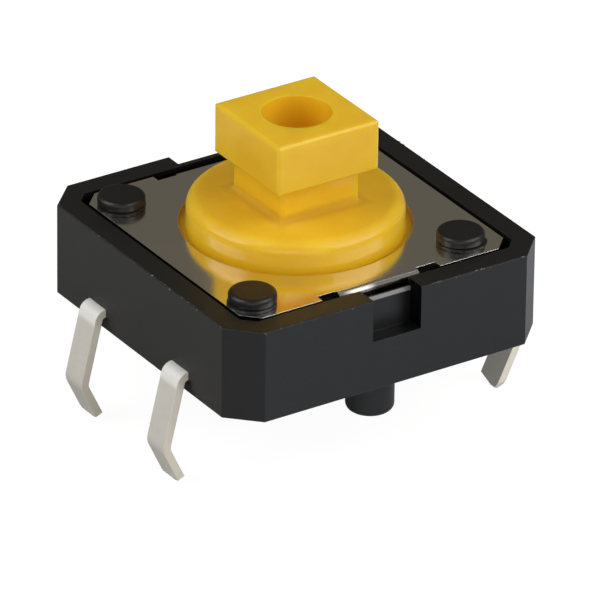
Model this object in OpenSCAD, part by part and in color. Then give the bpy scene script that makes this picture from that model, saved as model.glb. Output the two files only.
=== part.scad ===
// Tactile push button switch with a raised square plunger, for a printed board.
// Origin: centre of the housing's underside, on the board. +Z is up, the leads leave the X sides.
// All sizes are in millimetres.

/* [Housing] */
// Width of the square housing
housing_w = 12; // [11.6:0.1:13]
// Height of the rim above the board
housing_h = 3.25; // [3.2:0.05:4]
// Size of the flat on each upright corner
corner_flat = 1; // [0.6:0.05:1.3]
// Thickness of the rim round the cover plate
rim_t = 0.79; // [0.7:0.01:1]
// Size of the flat in each inner corner of the rim
recess_corner = 0.4; // [0.3:0.02:0.6]
// Radius worn by the mould on the rim's outer edges
edge_r = 0.05; // [0.03:0.01:0.15]
// Height of the seat that carries the dome
seat_z = 1; // [0.9:0.02:1.1]
// Step from the dome's seat down to the middle of the floor
floor_step = 0.06; // [0.02:0.01:0.1]
// Width of the ring that carries the dome's edge
seat_ring_w = 0.75; // [0.5:0.05:1]
// Radius of the round pocket in each corner of the deck
corner_pocket_r = 0.42; // [0.3:0.02:0.5]
// Depth of those pockets below the deck
corner_pocket_depth = 0.7; // [0.4:0.05:1]

/* [Side notches] */
// Width of the notch in the front wall
notch_w = 1.84; // [1.4:0.02:2.4]
// Width of the notch in the rear wall
rear_notch_w = 2.2; // [1.4:0.02:2.4]
// Depth of both notches from the outer face
notch_depth = 0.62; // [0.5:0.01:0.64]
// Height of both notches' floors above the board
notch_floor_z = 1.75; // [1.4:0.05:2.2]
// Drop of the thin wall behind the front notch below the rim
thin_wall_drop = 0.27; // [0.1:0.01:0.4]
// Slope on the outer edge of that thin wall
thin_wall_slope = 0.09; // [0.05:0.01:0.12]

/* [Locating pegs] */
// Radius of each peg
peg_r = 0.8; // [0.6:0.05:0.9]
// Length of each peg below the housing
peg_len = 1.55; // [1:0.05:2]
// Distance of each peg's centre from the front or rear face
peg_inset = 1.5; // [1.2:0.1:2]
// Radius of the lead-in at the end of each peg
peg_lead_in = 0.22; // [0.1:0.02:0.3]

/* [Cover plate] */
// Thickness of the sheet
cover_t = 0.2; // [0.18:0.01:0.3]
// Drop of the plate's face below the rim
cover_drop = 0.02; // [0:0.01:0.1]
// Gap round the plate's outline
cover_gap = 0.14; // [0.03:0.01:0.18]
// Least width of the plate beside its opening
plate_side_w = 1.25; // [1.15:0.01:1.4]
// Flat on each corner of the plate
cover_corner = 0.55; // [0.4:0.05:0.8]
// Width of the folded lip on the front and rear edges
lip_w = 3.05; // [2.6:0.05:3.6]
// Height of the folded lip, outside
lip_h = 0.9; // [0.7:0.05:1.2]
// Inner radius of the lip's fold
lip_inner_r = 0.02; // [0.02:0.01:0.1]
// Distance of the lip's outer face inside the plate's edge
lip_inset = 0.07; // [0.05:0.01:0.15]
// Width of the relief cut at each end of the lip
relief_w = 0.74; // [0.3:0.02:0.8]
// How far the relief cut goes in past the lip's fold
relief_past = 0.02; // [0.01:0.01:0.1]
// Clearance of a lip in its slot in the housing
lip_slot_gap = 0.06; // [0.03:0.01:0.1]

/* [Stakes] */
// Distance of each stake from the plate's edge, along X
stake_inset_x = 1.08; // [1.05:0.01:1.25]
// Distance of each stake from the plate's edge, along Y
stake_inset_y = 1.12; // [1.05:0.01:1.25]
// Radius of a stake's post
stake_r = 0.45; // [0.35:0.01:0.5]
// Radius of a stake's formed head
stake_head_r = 0.79; // [0.75:0.01:0.85]
// Height of a stake's formed head
stake_head_h = 0.4; // [0.3:0.02:0.5]
// Radius on the upper edge of a formed head
stake_edge_r = 0.14; // [0.05:0.01:0.18]
// Slope on the lower edge of a formed head
stake_slope = 0.1; // [0.04:0.01:0.12]
// Sideways shift of the formed heads, left by the forming tool
stake_shift = 0.2; // [0:0.02:0.22]
// Clearance of a post in the plate
stake_gap = 0.05; // [0.02:0.01:0.08]

/* [Plunger] */
// Height of the plunger's top above the board
plunger_top_z = 7.2; // [6.8:0.1:8]
// Side of the square head
head_w = 3.88; // [3.4:0.02:4.2]
// Height of the square head
head_h = 1.78; // [1.4:0.02:2]
// Radius on the head's edges
head_edge_r = 0.14; // [0.05:0.01:0.2]
// Radius of the blind hole in the head
head_hole_r = 1.16; // [0.9:0.02:1.3]
// Depth of the blind hole
head_hole_depth = 1.4; // [1:0.1:1.6]
// Step from each side of the head in to the square neck
neck_inset = 0.45; // [0.3:0.01:0.6]
// Radius of the fillet round the neck's foot
neck_fillet_r = 0.15; // [0.05:0.01:0.2]
// Gap between the round shoulder and the plate's opening
shoulder_gap = 0.25; // [0.15:0.01:0.4]
// Height of the shoulder's face above the board
shoulder_z = 4.2; // [4.1:0.02:4.5]
// Radius on the shoulder's upper edge
shoulder_edge_r = 0.42; // [0.2:0.02:0.5]
// Thickness of the flange held under the cover
flange_t = 0.6; // [0.5:0.02:0.65]
// Width of the flange beyond the cover's opening
flange_overlap = 0.5; // [0.3:0.02:0.55]
// Slope on the flange's lower edge
flange_edge = 0.1; // [0.05:0.01:0.2]
// Radial clearance of the flange in the housing
guide_gap = 0.08; // [0.05:0.01:0.1]
// Clearance between the flange and the cover at rest
rest_gap = 0.03; // [0.02:0.01:0.05]
// Radius of the nub that works the dome
nub_r = 0.9; // [0.7:0.05:1.1]
// Slope on the nub's lower edge
nub_edge = 0.15; // [0.05:0.01:0.2]
// Clearance between the nub and the dome at rest
nub_gap = 0.02; // [0.01:0.01:0.03]
// Width of each ear that keeps the plunger from turning
ear_w = 1.2; // [0.8:0.1:1.4]
// Reach of each ear beyond the flange
ear_reach = 0.35; // [0.25:0.05:0.4]
// Room below the flange and its ears for the travel
travel_room = 0.5; // [0.4:0.05:0.6]

/* [Click dome] */
// Clearance of the dome's edge in the round chamber
dome_gap = 0.28; // [0.2:0.02:0.4]
// Thickness of the dome's sheet
dome_t = 0.08; // [0.06:0.01:0.1]
// Height of the dome's underside over its seat
dome_rise = 0.38; // [0.36:0.01:0.42]

/* [Terminal strips] */
// Width of each lead
lead_w = 1; // [0.9:0.05:1.1]
// Thickness of the strip
lead_t = 0.27; // [0.25:0.01:0.32]
// Distance of each lead from the X axis
lead_offset = 2.5; // [2.4:0.05:2.6]
// Height of the strip's underside in the housing
strip_z = 0.45; // [0.42:0.01:0.5]
// Width of the strip inside the housing
strip_w = 1.3; // [1.1:0.05:1.5]
// Distance from the housing's side in to where the strip widens
strip_inset = 1.38; // [1.2:0.02:1.5]
// Radius inside the bend at the wall
lead_bend_r = 0.12; // [0.08:0.01:0.2]
// Outward slope of a lead from the wall to its knee
lead_splay = 13.5; // [8:0.5:16]
// Inward slope of a lead below its knee
lead_kink = 25.5; // [18:0.5:30]
// Radius inside the knee
lead_knee_r = 0.3; // [0.2:0.05:0.5]
// Depth of the knee below the board plane
lead_knee_depth = 1.85; // [1.6:0.05:2.3]
// Depth of the lead's tip below the board plane
lead_tip_depth = 3.4; // [3.2:0.05:4.2]
// Width of a lead at its tip
lead_tip_w = 0.8; // [0.4:0.05:0.8]
// Length over which a lead narrows to its tip
lead_taper_len = 0.3; // [0.2:0.05:1]
// Length of the slope on the outer side of the tip
lead_tip_slope = 0.2; // [0.1:0.05:0.4]
// Clearance of a strip in its slot
strip_gap = 0.02; // [0.01:0.01:0.04]
// Radius of the contact under the dome's middle
centre_contact_r = 0.7; // [0.5:0.05:0.9]
// Height of that contact over the dome's seat
centre_contact_rise = 0.05; // [0.02:0.01:0.06]
// Radius of the contacts under the dome's edge
edge_contact_r = 0.42; // [0.3:0.02:0.45]
// Distance of those contacts' centres inside the dome's edge
edge_contact_inset = 0.17; // [0.15:0.01:0.25]
// Width of the tongue under the dome's middle
tongue_w = 1.7; // [1.5:0.1:1.9]
// Radius of the mould's pin holes under the strips
mould_hole_r = 0.4; // [0.3:0.02:0.45]
// Distance of those holes from the housing's side
mould_hole_inset = 1.4; // [1.2:0.05:1.6]

/* [Hidden] */

$fn = 96;
black = [0.07, 0.07, 0.08];
steel = [0.62, 0.59, 0.55];
yellow = [0.95, 0.76, 0.12];
tin = [0.83, 0.81, 0.77];
spring_steel = [0.7, 0.7, 0.7];
// Overlap that lets joined solids and cuts pass through each other
pass = 0.02;

half = housing_w / 2;
recess_half = half - rim_t;
cover_half = recess_half - cover_gap;
cover_top_z = housing_h - cover_drop;
deck_z = cover_top_z - cover_t;
cover_hole_r = cover_half - plate_side_w;
lip_half = lip_w / 2;
lip_y = cover_half - lip_inset;
lip_r = cover_t + lip_inner_r;
fold_depth = lip_inset + lip_r;
relief_depth = fold_depth + relief_past;
stake_x = cover_half - stake_inset_x;
stake_y = cover_half - stake_inset_y;

shoulder_r = cover_hole_r - shoulder_gap;
flange_r = cover_hole_r + flange_overlap;
cavity_r = flange_r + guide_gap;
flange_top_z = deck_z - rest_gap;
flange_z = flange_top_z - flange_t;
head_bottom_z = plunger_top_z - head_h;
neck_w = head_w - 2 * neck_inset;

dome_r = cavity_r - dome_gap;
dome_top_z = seat_z + dome_rise + dome_t;
seat_inner_r = dome_r - seat_ring_w;

strip_top_z = strip_z + lead_t;
strip_half = half - strip_inset;
edge_contact_x = sqrt(pow(dome_r - edge_contact_inset, 2) - lead_offset * lead_offset);

// A rectangle centred on the origin with round corners of radius r.
module round_rect(w, d, r) {
    square([w - 2 * r, d], center = true);
    square([w, d - 2 * r], center = true);
    for (x = [-1, 1], y = [-1, 1])
        translate([x * (w / 2 - r), y * (d / 2 - r)]) circle(r = r);
}

// A quarter of a disc, between the X and Y axes.
module quarter_disc(r) {
    intersection() {
        circle(r = r);
        square(r);
    }
}

// What a quarter disc leaves of its square, for a fillet of radius r against both axes.
module hollow_corner(r) {
    difference() {
        translate([-pass, -pass]) square(r + pass);
        translate([r, r]) circle(r = r);
    }
}

// A band of thickness t bent round the origin from the Y axis towards X, with radius r inside.
module bent_band(r, t, turn) {
    reach = 2 * (r + t);
    intersection() {
        difference() {
            circle(r = r + t);
            circle(r = r);
        }
        polygon([
            [0, 0],
            [0, reach],
            [reach * sin(turn / 2), reach * cos(turn / 2)],
            [reach * sin(turn), reach * cos(turn)]
        ]);
    }
}

// A square of side w with a flat of size c on each corner.
module flat_cornered_square(w, c) {
    h = w / 2;
    polygon([
        [h - c, -h], [h, -h + c], [h, h - c], [h - c, h],
        [-h + c, h], [-h, h - c], [-h, -h + c], [-h + c, -h]
    ]);
}

// A bar of length len along X whose section, width w and height h from z = 0, has round edges.
module soft_bar(len, w, h, r) {
    rotate([90, 0, 90]) translate([0, h / 2, -len / 2]) linear_extrude(len) round_rect(w, h, r);
}

// The eight-sided block of the housing with its upper and lower edges rounded on every side.
module housing_block() {
    across_flats = sqrt(2) * (housing_w - corner_flat);
    intersection() {
        linear_extrude(housing_h) flat_cornered_square(housing_w, corner_flat);
        soft_bar(2 * housing_w, housing_w, housing_h, edge_r);
        rotate(90) soft_bar(2 * housing_w, housing_w, housing_h, edge_r);
        rotate(45) soft_bar(2 * housing_w, across_flats, housing_h, edge_r);
        rotate(-45) soft_bar(2 * housing_w, across_flats, housing_h, edge_r);
    }
}

// A notch of width w cut into the front wall, open at the rim.
module notch_cut(w) {
    translate([-w / 2, -half - pass, notch_floor_z])
        cube([w, notch_depth + pass, housing_h]);
}

// The trim of the thin wall behind the front notch, lower than the rim and sloped outwards.
module thin_wall_cut() {
    back_y = -half + notch_depth;
    wall_top_z = housing_h - thin_wall_drop;
    rotate([90, 0, 90]) translate([0, 0, -notch_w / 2]) linear_extrude(notch_w) polygon([
        [back_y - pass, wall_top_z - thin_wall_slope - pass],
        [back_y + thin_wall_slope, wall_top_z],
        [-recess_half + pass, wall_top_z],
        [-recess_half + pass, housing_h + pass],
        [back_y - pass, housing_h + pass]
    ]);
}

// The slot in the deck that takes the folded lip of the cover.
module lip_slot_cut() {
    slot_w = lip_w + 2 * lip_slot_gap;
    slot_y = lip_y - lip_r - lip_slot_gap;
    bottom_z = cover_top_z - lip_h - lip_slot_gap;
    translate([-slot_w / 2, -recess_half, bottom_z])
        cube([slot_w, recess_half - slot_y, housing_h]);
}

// One stake: the post through the plate and the button formed on top of it.
module stake() {
    edge_x = stake_head_r - stake_edge_r;
    edge_z = stake_head_h - stake_edge_r;
    translate([0, 0, deck_z - pass]) cylinder(r = stake_r, h = cover_t + 2 * pass);
    translate([-stake_shift, 0, cover_top_z]) rotate_extrude() {
        polygon([
            [0, 0],
            [stake_head_r - stake_slope, 0],
            [stake_head_r, stake_slope],
            [stake_head_r, edge_z],
            [edge_x, stake_head_h],
            [0, stake_head_h]
        ]);
        translate([edge_x, edge_z]) quarter_disc(stake_edge_r);
    }
}

// A peg below the housing, with a round lead-in at its end.
module peg() {
    straight = peg_len - peg_lead_in;
    mirror([0, 0, 1]) rotate_extrude() {
        translate([0, -pass]) square([peg_r, straight + pass]);
        square([peg_r - peg_lead_in, peg_len]);
        translate([peg_r - peg_lead_in, straight]) quarter_disc(peg_lead_in);
    }
}

// Side view of a lead from inside the wall: bend, sloping run, knee, and a tip sloped on its outer side.
module lead_profile() {
    bend_mid_r = lead_bend_r + lead_t / 2;
    knee_mid_r = lead_knee_r + lead_t / 2;
    // Depths of the middle line where the bend ends and where the knee starts and ends
    bend_end = lead_bend_r - strip_z - bend_mid_r * sin(lead_splay);
    knee_start = lead_knee_depth - knee_mid_r * sin(lead_splay);
    knee_end = lead_knee_depth + knee_mid_r * sin(lead_kink);
    run = (knee_start - bend_end) / cos(lead_splay);
    tip = (lead_tip_depth - knee_end - lead_t / 2 * sin(lead_kink)) / cos(lead_kink);

    translate([half - rim_t, strip_z]) square([rim_t, lead_t]);
    translate([half, strip_z - lead_bend_r]) {
        bent_band(lead_bend_r, lead_t, 90 - lead_splay);
        rotate(lead_splay - 90) translate([0, lead_bend_r]) {
            square([run, lead_t]);
            translate([run, -lead_knee_r]) {
                bent_band(lead_knee_r, lead_t, lead_splay + lead_kink);
                rotate(-lead_splay - lead_kink) translate([0, lead_knee_r]) polygon([
                    [0, 0],
                    [tip, 0],
                    [tip, lead_t / 2],
                    [tip - lead_tip_slope, lead_t],
                    [0, lead_t]
                ]);
            }
        }
    }
}

// A lead on the +X side, narrowed on both edges towards its tip.
module lead() {
    shoulder = -lead_tip_depth + lead_taper_len;
    intersection() {
        translate([0, lead_w / 2, 0]) rotate([90, 0, 0]) linear_extrude(lead_w) lead_profile();
        rotate([90, 0, 90]) linear_extrude(housing_w) polygon([
            [-lead_tip_w / 2, -lead_tip_depth],
            [lead_tip_w / 2, -lead_tip_depth],
            [lead_w / 2, shoulder],
            [lead_w / 2, housing_h],
            [-lead_w / 2, housing_h],
            [-lead_w / 2, shoulder]
        ]);
    }
}

// A strip across the housing, widened between its two leads, grown by g sideways and upwards.
module strip_bar(g = 0) {
    translate([-strip_half - g, -strip_w / 2 - g, strip_z])
        cube([2 * (strip_half + g), strip_w + 2 * g, lead_t + g]);
    translate([-half - g, -lead_w / 2 - g, strip_z])
        cube([2 * (half + g), lead_w + 2 * g, lead_t + g]);
}

// The tongue that reaches from the strip at negative Y to the middle, grown by g.
module tongue(g = 0) {
    translate([-tongue_w / 2 - g, -lead_offset, strip_z])
        cube([tongue_w + 2 * g, lead_offset, lead_t + g]);
    translate([0, 0, strip_z]) cylinder(r = tongue_w / 2 + g, h = lead_t + g);
}

// The two leads of a strip.
module lead_pair() {
    lead();
    mirror([1, 0, 0]) lead();
}

module housing() {
    // Place of each corner pocket, where it just touches the flat of the recess
    pocket_at = recess_half - recess_corner / 2 - corner_pocket_r * sqrt(0.5);
    color(black) difference() {
        union() {
            difference() {
                housing_block();
                // Recess for the cover plate
                translate([0, 0, deck_z]) linear_extrude(housing_h)
                    flat_cornered_square(2 * recess_half, recess_corner);
                // Round chamber for the dome and the plunger's flange
                translate([0, 0, seat_z]) cylinder(r = cavity_r, h = housing_h);
                translate([0, 0, seat_z - floor_step]) cylinder(r = seat_inner_r, h = housing_h);
                // Ways for the plunger's ears
                for (s = [0, 180])
                    rotate(s) translate([0, -(ear_w / 2 + guide_gap), flange_z - travel_room])
                        cube([flange_r + ear_reach + guide_gap, ear_w + 2 * guide_gap, housing_h]);
                // Mould relief in the deck's corners
                for (x = [-1, 1], y = [-1, 1])
                    translate([x * pocket_at, y * pocket_at, deck_z - corner_pocket_depth])
                        cylinder(r = corner_pocket_r, h = housing_h);
                notch_cut(notch_w);
                thin_wall_cut();
                rotate(180) notch_cut(rear_notch_w);
                for (s = [0, 180]) rotate(s) lip_slot_cut();
            }
            for (x = [-1, 1], y = [-1, 1])
                translate([x * stake_x, y * stake_y, 0]) stake();
            for (y = [-1, 1])
                translate([0, y * (half - peg_inset), 0]) peg();
        }
        // Slots round the two strips, and the windows of their contacts
        for (y = [-1, 1])
            translate([0, y * lead_offset, 0]) strip_bar(strip_gap);
        tongue(strip_gap);
        translate([0, 0, strip_z])
            cylinder(r = centre_contact_r + strip_gap, h = housing_h / 2);
        for (x = [-1, 1])
            translate([x * edge_contact_x, lead_offset, strip_z])
                cylinder(r = edge_contact_r + strip_gap, h = seat_z - strip_z + pass);
        // Holes left by the pins that hold the strips in the mould
        for (x = [-1, 1], y = [-1, 1])
            translate([x * (half - mould_hole_inset), y * lead_offset, -pass])
                cylinder(r = mould_hole_r, h = strip_z + 2 * pass);
    }
}

module cover_lip() {
    rotate([90, 0, 90]) translate([0, 0, -lip_half]) linear_extrude(lip_w) {
        translate([-lip_y + lip_r, cover_top_z - lip_r]) intersection() {
            difference() {
                circle(r = lip_r);
                circle(r = lip_inner_r);
            }
            translate([-lip_r, 0]) square(lip_r);
        }
        translate([-lip_y, cover_top_z - lip_h]) square([cover_t, lip_h - lip_r]);
    }
}

module cover_plate() {
    color(steel) {
        difference() {
            translate([0, 0, deck_z]) linear_extrude(cover_t)
                flat_cornered_square(2 * cover_half, cover_corner);
            translate([0, 0, deck_z - pass]) cylinder(r = cover_hole_r, h = cover_t + 2 * pass);
            for (x = [-1, 1], y = [-1, 1])
                translate([x * stake_x, y * stake_y, deck_z - pass])
                    cylinder(r = stake_r + stake_gap, h = cover_t + 2 * pass);
            // Room for the fold of each lip, and the relief cuts beside it
            for (s = [0, 180]) rotate(s) {
                translate([-lip_half, -cover_half - pass, deck_z - pass])
                    cube([lip_w, fold_depth + pass, cover_t + 2 * pass]);
                for (x = [-lip_half - relief_w, lip_half])
                    translate([x, -cover_half - pass, deck_z - pass])
                        cube([relief_w, relief_depth + pass, cover_t + 2 * pass]);
            }
        }
        for (s = [0, 180]) rotate(s) cover_lip();
    }
}

// The turned round parts of the plunger, from the nub up to the shoulder.
module plunger_round() {
    nub_z = dome_top_z + nub_gap;
    edge_x = shoulder_r - shoulder_edge_r;
    edge_z = shoulder_z - shoulder_edge_r;
    rotate_extrude() {
        polygon([
            [0, nub_z],
            [nub_r - nub_edge, nub_z],
            [nub_r, nub_z + nub_edge],
            [nub_r, flange_z],
            [flange_r - flange_edge, flange_z],
            [flange_r, flange_z + flange_edge],
            [flange_r, flange_top_z],
            [shoulder_r, flange_top_z],
            [shoulder_r, edge_z],
            [edge_x, shoulder_z],
            [0, shoulder_z]
        ]);
        translate([edge_x, edge_z]) quarter_disc(shoulder_edge_r);
    }
}

// The square head with round edges on every side.
module plunger_head() {
    translate([0, 0, head_bottom_z]) intersection() {
        linear_extrude(head_h) round_rect(head_w, head_w, head_edge_r);
        soft_bar(head_w, head_w, head_h, head_edge_r);
        rotate(90) soft_bar(head_w, head_w, head_h, head_edge_r);
    }
}

// The fillet round the foot of the neck, from the shoulder's face upwards.
module neck_fillet() {
    r = neck_fillet_r;
    corner = neck_w / 2 - head_edge_r;
    for (s = [0, 90, 180, 270]) rotate(s) translate([0, 0, shoulder_z]) {
        // Straight side, then the corner after it
        translate([-corner, 0, 0]) rotate([90, 0, 90]) linear_extrude(2 * corner)
            translate([-neck_w / 2, 0]) mirror([1, 0]) hollow_corner(r);
        translate([corner, -corner, 0]) intersection() {
            rotate_extrude() translate([head_edge_r, 0]) hollow_corner(r);
            translate([0, -neck_w, 0]) cube(neck_w);
        }
    }
}

module plunger() {
    neck_z = shoulder_z - shoulder_edge_r;
    color(yellow) difference() {
        union() {
            plunger_round();
            translate([0, 0, neck_z]) linear_extrude(head_bottom_z + head_edge_r - neck_z)
                round_rect(neck_w, neck_w, head_edge_r);
            neck_fillet();
            plunger_head();
            // Ears that keep the plunger from turning
            for (s = [0, 180])
                rotate(s) translate([nub_r, -ear_w / 2, flange_z])
                    cube([flange_r + ear_reach - nub_r, ear_w, flange_t]);
        }
        translate([0, 0, plunger_top_z - head_hole_depth])
            cylinder(r = head_hole_r, h = head_hole_depth + pass);
    }
}

module click_dome() {
    // Radius of the ball whose cap has the dome's edge and rise, and the height of its centre
    ball_r = (dome_r * dome_r + dome_rise * dome_rise) / (2 * dome_rise);
    centre_z = seat_z + dome_rise - ball_r;
    color(spring_steel) translate([0, 0, centre_z]) rotate_extrude() intersection() {
        difference() {
            circle(r = ball_r + dome_t, $fn = 720);
            circle(r = ball_r, $fn = 720);
        }
        polygon([[0, 0], [2 * dome_r, 2 * (ball_r - dome_rise)], [0, 2 * ball_r]]);
    }
}

module edge_contact_strip() {
    color(tin) translate([0, lead_offset, 0]) {
        strip_bar();
        lead_pair();
        for (x = [-1, 1])
            translate([x * edge_contact_x, 0, strip_top_z - pass])
                cylinder(r = edge_contact_r, h = seat_z - strip_top_z + pass);
    }
}

module centre_contact_strip() {
    color(tin) {
        translate([0, -lead_offset, 0]) {
            strip_bar();
            lead_pair();
        }
        tongue();
        translate([0, 0, strip_top_z - pass])
            cylinder(r = centre_contact_r, h = seat_z + centre_contact_rise - strip_top_z + pass);
    }
}

housing();
cover_plate();
plunger();
click_dome();
edge_contact_strip();
centre_contact_strip();
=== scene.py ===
"""Looks of a tactile push button switch.

A black moulded housing holds a bright cover plate under four formed stake heads, with a yellow plunger
through the plate and four tinned leads below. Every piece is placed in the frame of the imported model, in
metres, and sizes that are named in millimetres are turned into metres where they are used.
"""

import logging
import math
from dataclasses import dataclass
from enum import Enum

import bmesh
import bpy
from mathutils import Matrix, Vector


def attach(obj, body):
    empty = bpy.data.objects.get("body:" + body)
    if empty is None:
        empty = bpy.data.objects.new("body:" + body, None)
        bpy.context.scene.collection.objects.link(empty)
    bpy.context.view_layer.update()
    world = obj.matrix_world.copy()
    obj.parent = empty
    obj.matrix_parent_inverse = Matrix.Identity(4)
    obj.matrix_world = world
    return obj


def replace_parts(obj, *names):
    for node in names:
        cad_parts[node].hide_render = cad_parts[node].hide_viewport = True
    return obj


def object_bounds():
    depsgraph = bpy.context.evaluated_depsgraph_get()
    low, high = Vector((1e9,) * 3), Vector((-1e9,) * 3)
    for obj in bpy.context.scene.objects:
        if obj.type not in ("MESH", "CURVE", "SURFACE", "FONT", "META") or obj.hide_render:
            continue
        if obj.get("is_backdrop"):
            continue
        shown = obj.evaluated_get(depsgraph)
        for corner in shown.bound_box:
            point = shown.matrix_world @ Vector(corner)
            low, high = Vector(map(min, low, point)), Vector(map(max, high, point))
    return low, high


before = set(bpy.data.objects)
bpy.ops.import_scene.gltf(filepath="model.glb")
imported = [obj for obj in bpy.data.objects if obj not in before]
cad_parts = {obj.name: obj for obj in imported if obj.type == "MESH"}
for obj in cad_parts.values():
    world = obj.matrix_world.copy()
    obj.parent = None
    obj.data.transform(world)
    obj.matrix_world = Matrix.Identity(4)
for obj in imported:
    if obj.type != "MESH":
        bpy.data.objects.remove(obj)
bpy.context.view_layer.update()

LOG = logging.getLogger("push_button_switch")
MM = 0.001
CARRIER = "base"
Colour = tuple[float, float, float]

# Near black laid over recesses as painted shade
PAINTED_SHADE_BLACK: Colour = (0.0015, 0.0015, 0.0015)

# Sockets of a colour Mix node, whose names repeat for its other data types
MIX_START, MIX_END, MIX_RESULT = 6, 7, 2


class Slot(Enum):
    """The record's material slots."""

    HOUSING = "housing"
    COVER = "cover_plate"
    PLUNGER = "plunger"
    DOME = "click_dome"
    TERMINALS = "terminals"


NODE_SLOTS = {
    "housing": Slot.HOUSING,
    "cover_plate": Slot.COVER,
    "plunger": Slot.PLUNGER,
    "click_dome": Slot.DOME,
    "edge_contact_strip": Slot.TERMINALS,
    "centre_contact_strip": Slot.TERMINALS,
}


class Val:
    """A shader socket on which arithmetic adds Math nodes."""

    def __init__(self, shader: "Shader", socket: bpy.types.NodeSocket) -> None:
        """Keeps the shader that the socket belongs to.

        Args:
            shader: The shader under construction.
            socket: The output socket that holds the value.
        """
        self.shader = shader
        self.socket = socket

    def __add__(self, other: "Val | float") -> "Val":
        """Adds."""
        return self.shader.math("ADD", self, other)

    def __radd__(self, other: float) -> "Val":
        """Adds, with the number first."""
        return self.shader.math("ADD", other, self)

    def __sub__(self, other: "Val | float") -> "Val":
        """Subtracts."""
        return self.shader.math("SUBTRACT", self, other)

    def __rsub__(self, other: float) -> "Val":
        """Subtracts from a number."""
        return self.shader.math("SUBTRACT", other, self)

    def __mul__(self, other: "Val | float") -> "Val":
        """Multiplies."""
        return self.shader.math("MULTIPLY", self, other)

    def __rmul__(self, other: float) -> "Val":
        """Multiplies, with the number first."""
        return self.shader.math("MULTIPLY", other, self)

    def __abs__(self) -> "Val":
        """Takes the size without its sign."""
        return self.shader.math("ABSOLUTE", self)

    def at_least(self, other: "Val | float") -> "Val":
        """Takes the larger of two values."""
        return self.shader.math("MAXIMUM", self, other)

    def ramp(self, low: float, high: float) -> "Val":
        """Rises smoothly from 0 at low to 1 at high.

        Args:
            low: The value that gives 0.
            high: The value that gives 1. It may be below low for a falling ramp.

        Returns:
            The eased value between 0 and 1.
        """
        node = self.shader.node(
            "ShaderNodeMapRange",
            {"interpolation_type": "SMOOTHSTEP", "clamp": True},
            {"Value": self, "From Min": low, "From Max": high, "To Min": 0.0, "To Max": 1.0},
        )
        return Val(self.shader, node.outputs["Result"])

    def ramp_mm(self, low_mm: float, high_mm: float) -> "Val":
        """Rises smoothly from 0 to 1 between two places in millimetres, or falls if the first is higher."""
        return self.ramp(low_mm * MM, high_mm * MM)

    def near_mm(self, place_mm: float, core_mm: float, reach_mm: float) -> "Val":
        """Gives 1 within core_mm of a place, and falls to 0 at reach_mm from it."""
        return abs(self - place_mm * MM).ramp_mm(reach_mm, core_mm)


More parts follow.
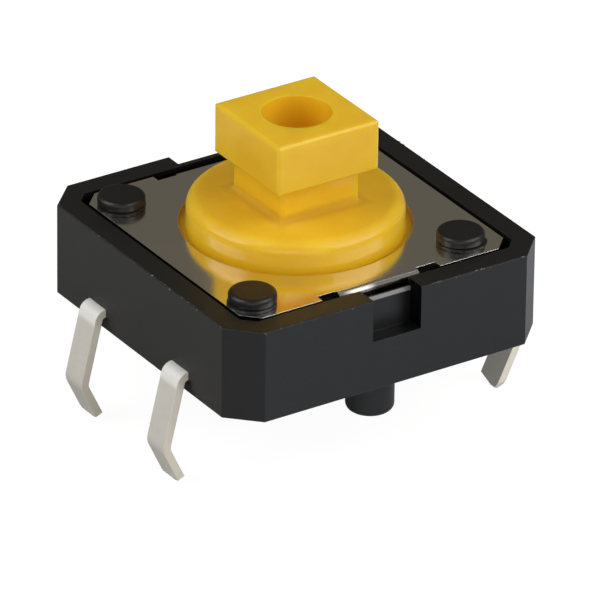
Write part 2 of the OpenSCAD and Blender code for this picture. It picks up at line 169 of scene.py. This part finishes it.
class Shader:
    """Builds the nodes of one material."""

    def __init__(self, name: str) -> None:
        """Starts an empty material with an output.

        Args:
            name: The material's name.
        """
        self.material = bpy.data.materials.new(name)
        self.material.use_nodes = True
        self.tree = self.material.node_tree
        self.tree.nodes.clear()
        self.output = self.tree.nodes.new("ShaderNodeOutputMaterial")
        self.place = self.node("ShaderNodeTexCoord").outputs["Object"]

    def node(self, kind: str, settings: dict | None = None, inputs: dict | None = None) -> bpy.types.Node:
        """Adds a node of any kind.

        Args:
            kind: The node's type.
            settings: Attributes that are set first, such as an operation.
            inputs: Values or links of its sockets, by name or number.

        Returns:
            The new node.
        """
        node = self.tree.nodes.new(kind)
        for key, value in (settings or {}).items():
            setattr(node, key, value)
        for key, value in (inputs or {}).items():
            target = node.inputs[key]
            if isinstance(value, Val):
                self.tree.links.new(value.socket, target)
            elif isinstance(value, bpy.types.NodeSocket):
                self.tree.links.new(value, target)
            else:
                target.default_value = value
        return node

    def math(self, operation: str, *values: "Val | float") -> Val:
        """Adds a Math node.

        Args:
            operation: The node's operation.
            *values: Its one or two values.

        Returns:
            The result.
        """
        node = self.node("ShaderNodeMath", {"operation": operation}, dict(enumerate(values)))
        return Val(self, node.outputs[0])

    def axes(self) -> tuple[Val, Val, Val]:
        """Gives the place on the object as three values in metres."""
        node = self.node("ShaderNodeSeparateXYZ", None, {0: self.place})
        return Val(self, node.outputs[0]), Val(self, node.outputs[1]), Val(self, node.outputs[2])

    def grain(self, size_mm: Colour | float, detail: float = 2.0, roughness: float = 0.5) -> Val:
        """Gives noise whose grains have a real size.

        Args:
            size_mm: Size of a grain, the same all ways or along X, Y and Z.
            detail: Number of finer layers.
            roughness: Strength of the finer layers.

        Returns:
            Noise between 0 and 1.
        """
        sizes = size_mm if isinstance(size_mm, tuple) else (size_mm,) * 3
        scale = tuple(1.0 / (s * MM) for s in sizes)
        place = self.node("ShaderNodeMapping", {"vector_type": "POINT"}, {
            "Vector": self.place, "Scale": scale,
        })
        node = self.node("ShaderNodeTexNoise", None, {
            "Vector": place.outputs[0], "Scale": 1.0, "Detail": detail, "Roughness": roughness,
        })
        return Val(self, node.outputs["Fac"])

    def blend(self, amount: Val, start: Colour | bpy.types.NodeSocket,
              end: Colour | bpy.types.NodeSocket) -> bpy.types.NodeSocket:
        """Mixes two colours.

        Args:
            amount: Share of the second colour.
            start: The first colour.
            end: The second colour.

        Returns:
            The mixed colour.
        """
        fill = {MIX_START: start, MIX_END: end}
        inputs = {key: (*value, 1.0) if isinstance(value, tuple) else value for key, value in fill.items()}
        node = self.node("ShaderNodeMix", {"data_type": "RGBA", "clamp_factor": True}, {0: amount, **inputs})
        return node.outputs[MIX_RESULT]

    def relief(self, height: Val, depth_mm: float, strength: float = 1.0,
               under: bpy.types.NodeSocket | None = None) -> bpy.types.NodeSocket:
        """Turns a height into a bumped normal.

        Args:
            height: Height between 0 and 1.
            depth_mm: Real depth of the relief.
            strength: Share of the relief that shows.
            under: A normal to bump further.

        Returns:
            The normal.
        """
        inputs = {"Height": height, "Distance": depth_mm * MM, "Strength": strength}
        if under is not None:
            inputs["Normal"] = under
        return self.node("ShaderNodeBump", None, inputs).outputs[0]

    def worn_edge(self, radius_mm: float) -> bpy.types.NodeSocket:
        """Gives a normal that rounds the edges of a mesh.

        Args:
            radius_mm: Radius of the rounding.

        Returns:
            The normal.
        """
        return self.node("ShaderNodeBevel", {"samples": 6}, {"Radius": radius_mm * MM}).outputs[0]

    def finish(self, painted_shade: Val | None = None,
               **sockets: "Val | bpy.types.NodeSocket | float | Colour") -> bpy.types.Material:
        """Closes the material with a Principled shader.

        Args:
            painted_shade: Share of dull black laid over it as painted shade, for deep gaps that send no light
                back.
            **sockets: The Principled shader's inputs, with underscores for spaces.

        Returns:
            The material.
        """
        inputs = {}
        for key, value in sockets.items():
            name = key.replace("_", " ")
            inputs[name] = (*value, 1.0) if key == "Base_Color" and isinstance(value, tuple) else value
        shader = self.node("ShaderNodeBsdfPrincipled", None, inputs)
        if painted_shade is not None:
            # Painted shade: a dull near-black layer mixed over the surface
            shade_layer = self.node("ShaderNodeBsdfDiffuse", None, {"Color": (*PAINTED_SHADE_BLACK, 1.0)})
            layers = {0: painted_shade, 1: shader.outputs[0], 2: shade_layer.outputs[0]}
            shader = self.node("ShaderNodeMixShader", None, layers)
        self.tree.links.new(shader.outputs[0], self.output.inputs[0])
        return self.material


@dataclass(frozen=True)
class BlackMoulding:
    """Satin black plastic with a fine drawn mould texture.

    Its walls are dusty and the rim's outer edge has pale specks. The trim in the front notch carries a painted
    highlight and the recesses carry painted shade in near black.
    """

    name: str = "black_moulding"
    base: Colour = (0.0028, 0.003, 0.0034)
    dusty: Colour = (0.008, 0.0084, 0.009)
    burr: Colour = (0.36, 0.36, 0.35)
    # Painted highlight on the trim behind the front notch
    trim_highlight: Colour = (0.22, 0.22, 0.215)
    roughness: float = 0.31
    fine_mm: float = 0.05
    drag_mm: Colour = (0.05, 0.05, 0.7)
    cloud_mm: float = 0.9
    speck_mm: float = 0.11
    dust_mm: float = 0.07
    worn_edge_mm: float = 0.02
    relief_mm: float = 0.004
    half_width_mm: float = 6.0
    rim_z_mm: float = 3.25
    deck_z_mm: float = 3.03
    deck_half_mm: float = 5.3
    notch_half_mm: float = 0.92
    notch_y_mm: float = -5.33
    notch_floor_mm: float = 1.75
    trim_y_mm: float = -5.335
    trim_z_mm: float = 2.935
    trim_half_mm: float = 0.95

    def build(self) -> bpy.types.Material:
        """Makes the material."""
        sh = Shader(self.name)
        x, y, z = sh.axes()
        reach = abs(x).at_least(abs(y))
        fine = sh.grain(self.fine_mm, 3.0, 0.6)
        drag = sh.grain(self.drag_mm, 2.0)
        cloud = sh.grain(self.cloud_mm, 3.0)
        wall = z.ramp_mm(self.rim_z_mm - 0.005, self.rim_z_mm - 0.03)
        specks = sh.grain(self.speck_mm, 2.0, 0.7).ramp(0.66, 0.74) * self._outer_edge(reach, z)
        dust = sh.grain(self.dust_mm, 1.0).ramp(0.72, 0.8) * wall
        worn = z.ramp_mm(self.rim_z_mm - 0.045, self.rim_z_mm - 0.02) * reach.ramp_mm(
            self.half_width_mm - 0.06, self.half_width_mm - 0.04)
        colour = sh.blend(cloud * 0.4 + fine * 0.3 + drag * 0.3, self.base, self.dusty)
        colour = sh.blend(dust * 0.05, colour, self.burr)
        colour = sh.blend(specks * 0.8, colour, self.burr)
        # Painted highlight on the trim behind the front notch
        colour = sh.blend(self._trim(x, y, z) * (0.55 + fine * 0.6), colour, self.trim_highlight)
        roughness = self.roughness - wall * 0.05 + fine * 0.08 + drag * 0.1 + specks * 0.3 + worn * 0.25
        normal = sh.relief(drag * 0.6 + fine * 0.4, self.relief_mm, 0.6, sh.worn_edge(self.worn_edge_mm))
        # Near black over the deck under the cover's gaps and over the notch's left-facing side is painted
        # shade
        return sh.finish(painted_shade=self._recesses(x, y, z, reach), Base_Color=colour, Roughness=roughness,
                         Normal=normal, Specular_IOR_Level=0.5)

    def _outer_edge(self, reach: Val, z: Val) -> Val:
        """Marks the rim's outer edge."""
        return reach.ramp_mm(self.half_width_mm - 0.09, self.half_width_mm - 0.02) * z.ramp_mm(
            self.rim_z_mm - 0.13, self.rim_z_mm - 0.05)

    def _trim(self, x: Val, y: Val, z: Val) -> Val:
        """Marks the trimmed top of the thin wall behind the front notch, which carries a painted highlight."""
        across = y.near_mm(self.trim_y_mm, 0.05, 0.075) * z.near_mm(self.trim_z_mm, 0.05, 0.075)
        return across * abs(x).ramp_mm(self.trim_half_mm + 0.02, self.trim_half_mm - 0.02)

    def _recesses(self, x: Val, y: Val, z: Val, reach: Val) -> Val:
        """Marks where painted shade goes: the deck under the cover's gaps, and the side of the front notch
        that faces the left.
        """
        deck = z.near_mm(self.deck_z_mm, 0.03, 0.06) * reach.ramp_mm(
            self.deck_half_mm + 0.06, self.deck_half_mm)
        in_notch = y.ramp_mm(self.notch_y_mm + 0.01, self.notch_y_mm - 0.03) * y.ramp_mm(
            0.005 - self.half_width_mm, 0.02 - self.half_width_mm)
        above_floor = z.ramp_mm(self.notch_floor_mm, self.notch_floor_mm + 0.05)
        notch_side = x.near_mm(self.notch_half_mm, 0.01, 0.02) * in_notch * above_floor
        return deck * 0.97 + notch_side * 0.85


@dataclass(frozen=True)
class YellowMoulding:
    """Semi-gloss yellow plastic that lets a little light through.

    It has faint flow clouds, duller flat tops and painted shade about the neck's foot, under the head.
    """

    name: str = "yellow_moulding"
    base: Colour = (0.88, 0.560, 0.022)
    deep: Colour = (0.84, 0.515, 0.018)
    # Painted shade about the neck's foot
    shaded: Colour = (0.66, 0.37, 0.010)
    roughness: float = 0.19
    cloud_mm: float = 1.4
    fine_mm: float = 0.06
    worn_edge_mm: float = 0.05
    relief_mm: float = 0.004
    head_z_mm: float = 7.2
    shoulder_z_mm: float = 4.2
    neck_half_mm: float = 1.49
    light_reach: Colour = (1.0, 0.6, 0.05)
    light_reach_mm: float = 0.9

    def build(self) -> bpy.types.Material:
        """Makes the material."""
        sh = Shader(self.name)
        x, y, z = sh.axes()
        cloud = sh.grain(self.cloud_mm, 3.0)
        fine = sh.grain(self.fine_mm, 2.0)
        foot = z.near_mm(self.shoulder_z_mm, 0.1, 0.35) * abs(x).at_least(abs(y)).ramp_mm(
            self.neck_half_mm + 0.45, self.neck_half_mm + 0.12)
        head_top = z.ramp_mm(self.head_z_mm - 0.05, self.head_z_mm)
        flat_tops = head_top + z.near_mm(self.shoulder_z_mm, 0.12, 0.22)
        colour = sh.blend(cloud.ramp(0.3, 0.7), self.base, self.deep)
        # Painted shade about the neck's foot, under the head's overhang
        colour = sh.blend(foot * 0.7, colour, self.shaded)
        roughness = self.roughness + fine * 0.08 + flat_tops * 0.25 + foot * 0.4
        normal = sh.relief(fine * 0.5 + cloud * 0.5, self.relief_mm, 0.35, sh.worn_edge(self.worn_edge_mm))
        return sh.finish(Base_Color=colour, Roughness=roughness, Normal=normal, Subsurface_Weight=0.6,
                         Subsurface_Radius=self.light_reach, Subsurface_Scale=self.light_reach_mm * MM,
                         Specular_IOR_Level=0.5)


@dataclass(frozen=True)
class RolledSteel:
    """Bright rolled sheet with faint rolling lines and mottle; its folded lip carries painted shade in patches
    and on its lower part, with a painted highlight towards the left.
    """

    name: str = "rolled_steel"
    base: Colour = (0.90, 0.875, 0.84)
    dull: Colour = (0.78, 0.75, 0.71)
    # Painted shade in patches over the fold, toning down its highlight
    fold_shade: Colour = (0.60, 0.59, 0.57)
    # Painted shade on the lower part of the folded lip
    lip: Colour = (0.07, 0.066, 0.06)
    roughness: float = 0.115
    rolled_mm: Colour = (0.9, 0.03, 0.9)
    mottle_mm: float = 0.08
    cloud_mm: float = 1.8
    shade_patch_mm: Colour = (0.35, 0.06, 0.06)
    worn_edge_mm: float = 0.02
    relief_mm: float = 0.001
    fold_y_mm: float = 4.79
    lip_half_mm: float = 1.525
    lip_bright_z_mm: float = 3.212
    lip_dark_z_mm: float = 3.185
    glint_x_mm: float = -0.75

    def build(self) -> bpy.types.Material:
        """Makes the material."""
        sh = Shader(self.name)
        x, y, z = sh.axes()
        rolled = sh.grain(self.rolled_mm, 3.0, 0.6)
        mottle = sh.grain(self.mottle_mm, 3.0, 0.65)
        cloud = sh.grain(self.cloud_mm, 2.0)
        shade_patches = sh.grain(self.shade_patch_mm, 3.0, 0.6).ramp(0.35, 0.65)
        fold = abs(y).ramp_mm(self.fold_y_mm, self.fold_y_mm + 0.05) * abs(x).ramp_mm(
            self.lip_half_mm + 0.02, self.lip_half_mm - 0.01)
        # Painted highlight about glint_x_mm, where the lip's painted shade is lessened
        glint = x.near_mm(self.glint_x_mm, 0.2, 0.7)
        lip = fold * z.ramp_mm(self.lip_bright_z_mm, self.lip_dark_z_mm) * (1.0 - 0.55 * glint)
        colour = sh.blend(mottle * 0.5 + cloud * 0.5, self.base, self.dull)
        # Painted shade in patches over the fold, toning down its highlight
        colour = sh.blend(fold * (0.3 + shade_patches * 0.6), colour, self.fold_shade)
        # Painted shade on the lip's lower part
        colour = sh.blend(lip, colour, self.lip)
        roughness = self.roughness + rolled * 0.07 + mottle.ramp(0.5, 0.8) * 0.1 + fold * 0.12
        normal = sh.relief(rolled * 0.5 + mottle * 0.5, self.relief_mm, 0.4, sh.worn_edge(self.worn_edge_mm))
        return sh.finish(Base_Color=colour, Roughness=roughness, Normal=normal, Metallic=1.0)


@dataclass(frozen=True)
class TinPlate:
    """Matte tin on the leads, creamier where the base metal was sheared, smoother over the bends and with a
    painted highlight on their faces.
    """

    name: str = "tin_plate"
    base: Colour = (0.95, 0.925, 0.865)
    dull: Colour = (0.79, 0.765, 0.70)
    sheared: Colour = (0.96, 0.90, 0.76)
    # Painted highlight over the bends' faces
    bend_highlight: Colour = (0.99, 0.98, 0.96)
    roughness: float = 0.36
    metallic: float = 0.55
    mottle_mm: float = 0.09
    cloud_mm: float = 0.6
    worn_edge_mm: float = 0.04
    relief_mm: float = 0.006
    bend_low_mm: float = 0.15
    bend_high_mm: float = 0.35
    lead_y_mm: float = 2.5
    lead_w_mm: float = 1.0

    def build(self) -> bpy.types.Material:
        """Makes the material."""
        sh = Shader(self.name)
        _, y, z = sh.axes()
        mottle = sh.grain(self.mottle_mm, 3.0, 0.6)
        cloud = sh.grain(self.cloud_mm, 2.0)
        half = self.lead_w_mm / 2
        side = abs(abs(y) - self.lead_y_mm * MM).ramp_mm(half - 0.03, half - 0.005)
        bend = z.ramp_mm(self.bend_low_mm, self.bend_high_mm)
        bend_face = bend * (1.0 - side)
        colour = sh.blend(mottle * 0.5 + cloud * 0.5, self.base, self.dull)
        colour = sh.blend(side, colour, self.sheared)
        # Painted highlight: the bends' faces are whitened and made less metallic; their lower roughness is the
        # real burnish of forming
        colour = sh.blend(bend_face * (0.7 + mottle.ramp(0.4, 0.6) * 0.3), colour, self.bend_highlight)
        roughness = self.roughness + mottle * 0.16 - bend * mottle.ramp(0.35, 0.65) * 0.12
        normal = sh.relief(mottle, self.relief_mm, 0.7, sh.worn_edge(self.worn_edge_mm))
        metallic = self.metallic - side * 0.35 - bend_face * 0.45
        return sh.finish(Base_Color=colour, Roughness=roughness, Normal=normal, Metallic=metallic)


@dataclass(frozen=True)
class SpringSteel:
    """Bright spring sheet of the click dome."""

    name: str = "spring_steel"
    base: Colour = (0.72, 0.72, 0.72)
    roughness: float = 0.18
    fine_mm: float = 0.05

    def build(self) -> bpy.types.Material:
        """Makes the material."""
        sh = Shader(self.name)
        fine = sh.grain(self.fine_mm, 2.0)
        return sh.finish(Base_Color=self.base, Roughness=self.roughness + fine * 0.1, Metallic=1.0)


@dataclass(frozen=True)
class ScuffedEdge:
    """Pale torn plastic of a burr."""

    name: str = "scuffed_edge"
    pale: Colour = (0.20, 0.20, 0.19)
    dark: Colour = (0.03, 0.03, 0.03)
    roughness: float = 0.55
    torn_mm: float = 0.05
    relief_mm: float = 0.006

    def build(self) -> bpy.types.Material:
        """Makes the material."""
        sh = Shader(self.name)
        torn = sh.grain(self.torn_mm, 3.0, 0.7)
        colour = sh.blend(torn.ramp(0.35, 0.65), self.dark, self.pale)
        normal = sh.relief(torn, self.relief_mm)
        return sh.finish(Base_Color=colour, Roughness=self.roughness + torn * 0.2, Normal=normal)


@dataclass(frozen=True)
class Table:
    """Plain matte studio surface, which may be of another tone towards the front right."""

    name: str
    base: Colour
    front_right: Colour
    glow: float = 0.0
    roughness: float = 0.9
    turn_start_mm: float = -4.0
    turn_end_mm: float = 10.0

    def build(self) -> bpy.types.Material:
        """Makes the material."""
        sh = Shader(self.name)
        x, y, _ = sh.axes()
        colour = sh.blend((x - y).ramp_mm(self.turn_start_mm, self.turn_end_mm), self.base, self.front_right)
        return sh.finish(Base_Color=colour, Roughness=self.roughness, Emission_Color=(1.0, 1.0, 1.0, 1.0),
                         Emission_Strength=self.glow)


@dataclass(frozen=True)
class Camera:
    """The photograph's camera, fitted to the housing's and the head's corners."""

    azimuth_deg: float = -33.292
    elevation_deg: float = 27.982
    roll_deg: float = 0.748
    distance_mm: float = 282.567
    focal_px: float = 8712.9
    right_mm: float = 0.116
    up_mm: float = -2.333
    aim_z_mm: float = 3.0
    frame_px: float = 598.0
    sensor_mm: float = 36.0
    clip_start_mm: float = 1.0
    clip_end_mm: float = 10000.0

    def build(self) -> None:
        """Makes the camera and gives it to the scene."""
        az, el, roll = (math.radians(v) for v in (self.azimuth_deg, self.elevation_deg, self.roll_deg))
        back = Vector((math.sin(az) * math.cos(el), -math.cos(az) * math.cos(el), math.sin(el)))
        flat_right = Vector((0, 0, 1)).cross(back).normalized()
        flat_up = back.cross(flat_right)
        right = math.cos(roll) * flat_right + math.sin(roll) * flat_up
        up = -math.sin(roll) * flat_right + math.cos(roll) * flat_up
        aim = Vector((0, 0, self.aim_z_mm))
        eye = aim + back * self.distance_mm + right * self.right_mm + up * self.up_mm
        data = bpy.data.cameras.new("camera")
        data.sensor_width = self.sensor_mm
        data.lens = self.focal_px * self.sensor_mm / self.frame_px
        data.clip_start = self.clip_start_mm * MM
        data.clip_end = self.clip_end_mm * MM
        camera = bpy.data.objects.new("camera", data)
        camera.matrix_world = Matrix.Translation(eye * MM) @ Matrix((right, up, back)).transposed().to_4x4()
        bpy.context.scene.collection.objects.link(camera)
        bpy.context.scene.camera = camera


@dataclass(frozen=True)
class Softbox:
    """A flat soft light that faces the middle of the object."""

    name: str
    bearing_deg: float
    height_deg: float
    width_deg: float
    tall_deg: float
    radiance: float
    distance_mm: float = 160.0

    def build(self) -> None:
        """Makes the light, sized by the angles that it fills as seen from the object."""
        width, tall = (2.0 * self.distance_mm * MM * math.tan(math.radians(angle / 2))
                       for angle in (self.width_deg, self.tall_deg))
        data = bpy.data.lights.new(self.name, "AREA")
        data.shape = "RECTANGLE"
        data.size, data.size_y = width, tall
        data.energy = self.radiance * math.pi * width * tall
        bearing, height = math.radians(self.bearing_deg), math.radians(self.height_deg)
        flat = math.cos(height)
        back = Vector((math.cos(bearing) * flat, math.sin(bearing) * flat, math.sin(height)))
        right = Vector((0.0, 0.0, 1.0)).cross(back).normalized()
        light = bpy.data.objects.new(self.name, data)
        turn = Matrix((right, back.cross(right), back)).transposed().to_4x4()
        light.matrix_world = Matrix.Translation(back * self.distance_mm * MM) @ turn
        bpy.context.scene.collection.objects.link(light)


@dataclass
class Studio:
    """Floor, lights, surroundings and camera.

    The camera sees the floor, and only the grey card just below it throws light back.
    """

    floor_z: float
    floor: Table = Table("white_table", (0.15, 0.15, 0.15), (0.15, 0.15, 0.15), glow=0.94)
    card: Table = Table("grey_card", (0.52, 0.52, 0.525), (0.74, 0.77, 0.84))
    card_drop_mm: float = 0.1
    disc_radius_mm: float = 900.0
    disc_corners: int = 96
    softboxes: tuple[Softbox, ...] = (
        Softbox("softbox_left", bearing_deg=160.0, height_deg=40.0, width_deg=42.0, tall_deg=46.0,
                radiance=2.75),
        Softbox("softbox_right", bearing_deg=308.0, height_deg=40.0, width_deg=52.0, tall_deg=46.0,
                radiance=2.65),
        Softbox("front_fill", bearing_deg=236.0, height_deg=12.0, width_deg=60.0, tall_deg=30.0,
                radiance=1.25),
    )
    surround: Colour = (0.122, 0.111, 0.089)

    def build(self) -> None:
        """Makes everything that isn't part of the object."""
        self._disc("studio_floor", self.floor_z, self.floor, seen=True)
        self._disc("bounce_card", self.floor_z - self.card_drop_mm * MM, self.card, seen=False)
        self._surroundings()
        for softbox in self.softboxes:
            softbox.build()
        Camera().build()
        bpy.context.scene.view_settings.view_transform = "Standard"
        LOG.info("studio with its floor at %.2f mm", self.floor_z / MM)

    def _disc(self, name: str, height: float, finish: Table, seen: bool) -> None:
        """Lays a flat disc under the lead tips.

        Args:
            name: The disc's name.
            height: Its height in metres.
            finish: Its finish.
            seen: True for the floor that the camera sees, False for the card that throws light back.
        """
        bm = bmesh.new()
        bmesh.ops.create_circle(bm, cap_ends=True, segments=self.disc_corners,
                                radius=self.disc_radius_mm * MM)
        bmesh.ops.translate(bm, verts=bm.verts, vec=(0, 0, height))
        mesh = bpy.data.meshes.new(name)
        bm.to_mesh(mesh)
        bm.free()
        mesh.materials.append(finish.build())
        disc = bpy.data.objects.new(name, mesh)
        disc.visible_camera = seen
        disc.visible_diffuse = disc.visible_glossy = disc.visible_transmission = not seen
        disc.visible_shadow = False
        bpy.context.scene.collection.objects.link(disc)
        disc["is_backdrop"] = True

    def _surroundings(self) -> None:
        """Fills the room with an even warm grey."""
        world = bpy.data.worlds.new("studio_room")
        world.use_nodes = True
        background = world.node_tree.nodes["Background"]
        background.inputs["Color"].default_value = (*self.surround, 1.0)
        background.inputs["Strength"].default_value = 1.0
        bpy.context.scene.world = world


def place_piece(name: str, bm: bmesh.types.BMesh, material: bpy.types.Material) -> bpy.types.Object:
    """Turns a finished mesh into a piece that rides on the base.

    Args:
        name: The piece's name.
        bm: Its mesh in metres, which is used up.
        material: Its finish.

    Returns:
        The piece.
    """
    bmesh.ops.recalc_face_normals(bm, faces=bm.faces)
    mesh = bpy.data.meshes.new(name)
    bm.to_mesh(mesh)
    bm.free()
    mesh.materials.append(material)
    piece = bpy.data.objects.new(name, mesh)
    bpy.context.scene.collection.objects.link(piece)
    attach(piece, CARRIER)
    LOG.info("%s built with %d faces", name, len(mesh.polygons))
    return piece


@dataclass
class StakeFlash:
    """The thin uneven skirt of plastic squeezed out under each formed stake head."""

    material: bpy.types.Material
    stake_x_mm: float = 3.99
    stake_y_mm: float = 3.95
    shift_mm: float = 0.2
    seat_z_mm: float = 3.231
    inner_r_mm: float = 0.66
    head_r_mm: float = 0.79
    edge_r_mm: float = 0.78
    edge_t_mm: float = 0.035
    rise_mm: float = 0.1
    spread_mm: float = 0.085
    lobe_share: float = 0.22
    ripple_share: float = 0.12
    steps: int = 84

    def build(self) -> None:
        """Makes the four skirts as one piece on the base."""
        bm = bmesh.new()
        # Bearing towards which each skirt spreads most, by the signs of its stake's place
        bearings = {(-1, 1): 215.0, (-1, -1): 190.0, (1, -1): 292.0, (1, 1): 40.0}
        for (side_x, side_y), bearing in bearings.items():
            centre = Vector((side_x * self.stake_x_mm - self.shift_mm, side_y * self.stake_y_mm, 0.0)) * MM
            self._skirt(bm, centre, math.radians(bearing))
        place_piece("stake_flash", bm, self.material)

    def _skirt(self, bm: bmesh.types.BMesh, centre: Vector, bearing: float) -> None:
        """Turns one skirt and spreads its edge unevenly.

        Args:
            bm: The mesh that takes the skirt.
            centre: The head's middle.
            bearing: Where the skirt spreads most, in radians.
        """
        section = (
            (self.inner_r_mm, self.seat_z_mm),
            (self.edge_r_mm, self.seat_z_mm),
            (self.edge_r_mm, self.seat_z_mm + self.edge_t_mm),
            (self.inner_r_mm, self.seat_z_mm + self.rise_mm),
        )
        verts = [bm.verts.new(centre + Vector((r, 0.0, z)) * MM) for r, z in section]
        edges = [bm.edges.new((vert, verts[(i + 1) % len(verts)])) for i, vert in enumerate(verts)]
        bmesh.ops.spin(bm, geom=verts + edges, cent=centre, axis=(0, 0, 1), angle=math.tau, steps=self.steps,
                       use_merge=True)
        # Only the outer ring of this skirt lies this close to its edge radius
        slack = 0.02 * MM
        for vert in bm.verts:
            out = vert.co.xy - centre.xy
            if abs(out.length - self.edge_r_mm * MM) < slack:
                out = out * (1.0 + self.spread_mm * self._swell(out, bearing) / self.head_r_mm)
                vert.co.x, vert.co.y = centre.x + out.x, centre.y + out.y

    def _swell(self, out: Vector, bearing: float) -> float:
        """Gives the share of the full spread in the direction of out."""
        angle = math.atan2(out.y, out.x) - bearing
        lobes = self.lobe_share * math.sin(5.0 * angle + bearing)
        ripple = self.ripple_share * math.sin(13.0 * angle)
        return max(0.0, max(0.0, math.cos(angle)) ** 2 + lobes + ripple)


@dataclass(frozen=True)
class BurrRun:
    """A stretch of the rim's outer edge that carries burrs."""

    start_mm: tuple[float, float]
    end_mm: tuple[float, float]
    count: int
    size_mm: float


@dataclass
class RimBurrs:
    """Small torn burrs left on the rim's outer edge by the mould's parting line."""

    material: bpy.types.Material
    rim_z_mm: float = 3.25
    sink_mm: float = 0.012
    flat_share: float = 0.3
    width_share: float = 0.55
    reach_y_mm: float = 5.999
    runs: tuple[BurrRun, ...] = (
        BurrRun((-5.985, -0.3), (-5.985, -3.0), 5, 0.032),
        BurrRun((-5.985, -3.8), (-5.985, -4.6), 3, 0.026),
        BurrRun((-5.985, 3.6), (-5.985, 2.4), 3, 0.03),
        BurrRun((-2.7, -5.962), (-2.1, -5.962), 3, 0.035),
        BurrRun((1.2, -5.962), (3.4, -5.962), 13, 0.045),
        BurrRun((4.3, -5.962), (4.95, -5.962), 5, 0.045),
        BurrRun((-4.6, -5.962), (-3.6, -5.962), 3, 0.03),
        BurrRun((5.985, 1.0), (5.985, 3.0), 5, 0.035),
        BurrRun((2.0, 5.962), (3.6, 5.962), 5, 0.035),
    )

    def build(self) -> None:
        """Makes all burrs as one piece on the base."""
        bm = bmesh.new()
        for run in self.runs:
            for index in range(run.count):
                self._burr(bm, run, index)
        place_piece("rim_burrs", bm, self.material)

    def _burr(self, bm: bmesh.types.BMesh, run: BurrRun, index: int) -> None:
        """Adds one flat sliver with uneven points.

        Args:
            bm: The mesh that takes the burr.
            run: Its stretch of the edge.
            index: Its number there, which sets its place and size.
        """
        along = Vector(run.end_mm) - Vector(run.start_mm)
        # Golden-ratio steps scatter the burrs without a pattern
        spot = Vector(run.start_mm) + along * ((0.37 + index * 0.618) % 1.0)
        size = run.size_mm * (0.55 + 0.75 * ((index * 0.414 + 0.2) % 1.0))
        sliver = bmesh.ops.create_icosphere(bm, subdivisions=1, radius=size * MM)["verts"]
        turn = Matrix.Rotation(math.atan2(along.y, along.x) + 0.5 * math.sin(index * 2.3), 3, "Z")
        stretch = Matrix.Diagonal((1.4 + 0.8 * math.sin(index * 1.7), self.width_share, self.flat_share))
        for number, vert in enumerate(sliver):
            vert.co = turn @ (stretch @ (vert.co * (1.0 + 0.3 * math.sin(number * 2.7 + index))))
            vert.co += Vector((spot.x, spot.y, self.rim_z_mm - self.sink_mm)) * MM
            vert.co.y = max(-self.reach_y_mm * MM, min(self.reach_y_mm * MM, vert.co.y))


@dataclass
class CroppedStrips:
    """The two contact strips with their lead tips cropped aslant, alike under a half turn of the switch."""

    material: bpy.types.Material
    lead_y_mm: float = 2.5
    half_tip_mm: float = 0.4
    tip_z_mm: float = -3.4
    left_crop_mm: float = 0.34
    right_crop_mm: float = 0.22
    kink_deg: float = 25.5
    leg_top_z_mm: float = -0.6
    merge_mm: float = 0.0005
    cut_slack_mm: float = 0.0001

    def build(self) -> None:
        """Copies each strip's mesh and crops its two leads."""
        pieces = {"edge_contact_strip": "edge_strip_cropped", "centre_contact_strip": "centre_strip_cropped"}
        for node, name in pieces.items():
            bm = bmesh.new()
            bm.from_mesh(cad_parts[node].data)
            bmesh.ops.remove_doubles(bm, verts=bm.verts, dist=self.merge_mm * MM)
            for side_x in (-1, 1):
                for side_y in (-1, 1):
                    self._crop(bm, side_x, side_y)
            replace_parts(place_piece(name, bm, self.material), node)

    def _crop(self, bm: bmesh.types.BMesh, side_x: int, side_y: int) -> None:
        """Cuts one tip off aslant, square to the leg's slope seen from the front.

        Args:
            bm: The strip's mesh.
            side_x: Sign of the lead's place along X.
            side_y: Sign of the lead's place along Y.
        """
        faces = [face for face in bm.faces if all(
            vert.co.x * side_x > 0 and vert.co.y * side_y > 0 and vert.co.z < self.leg_top_z_mm * MM
            for vert in face.verts)]
        if not faces:
            return
        verts = list(dict.fromkeys(vert for face in faces for vert in face.verts))
        edges = list(dict.fromkeys(edge for face in faces for edge in face.edges))
        lowest = min(verts, key=lambda vert: vert.co.z)
        long_y_mm = side_y * self.lead_y_mm - side_x * self.half_tip_mm
        corner = Vector((lowest.co.x, long_y_mm * MM, self.tip_z_mm * MM))
        crop_mm = self.left_crop_mm if side_x < 0 else self.right_crop_mm
        along = Vector((0.0, side_x * 2.0 * self.half_tip_mm, crop_mm))
        across = Vector((side_x, 0.0, -math.tan(math.radians(self.kink_deg))))
        down = along.cross(across).normalized()
        down = -down if down.z > 0 else down
        bmesh.ops.bisect_plane(bm, geom=verts + edges + faces, dist=self.cut_slack_mm * MM,
                               plane_co=corner, plane_no=down, clear_outer=True)
        bmesh.ops.holes_fill(bm, edges=[edge for edge in bm.edges if edge.is_boundary], sides=0)


@dataclass
class CadDress:
    """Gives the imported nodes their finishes."""

    tin: bpy.types.Material

    def build(self) -> None:
        """Assigns to each node the finish of its slot."""
        finishes = {
            Slot.HOUSING: BlackMoulding().build(),
            Slot.COVER: RolledSteel().build(),
            Slot.PLUNGER: YellowMoulding().build(),
            Slot.DOME: SpringSteel().build(),
            Slot.TERMINALS: self.tin,
        }
        for node, slot in NODE_SLOTS.items():
            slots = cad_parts[node].data.materials
            slots.clear()
            slots.append(finishes[slot])
            LOG.info("%s dressed in %s", node, finishes[slot].name)


def main() -> None:
    """Builds the sub-assemblies in order."""
    logging.basicConfig(level=logging.INFO, format="%(message)s")
    tin = TinPlate().build()
    CadDress(tin).build()
    CroppedStrips(tin).build()
    StakeFlash(BlackMoulding("squeezed_plastic").build()).build()
    RimBurrs(ScuffedEdge().build()).build()
    Studio(floor_z=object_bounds()[0][2]).build()


if __name__ == "__main__":
    main()
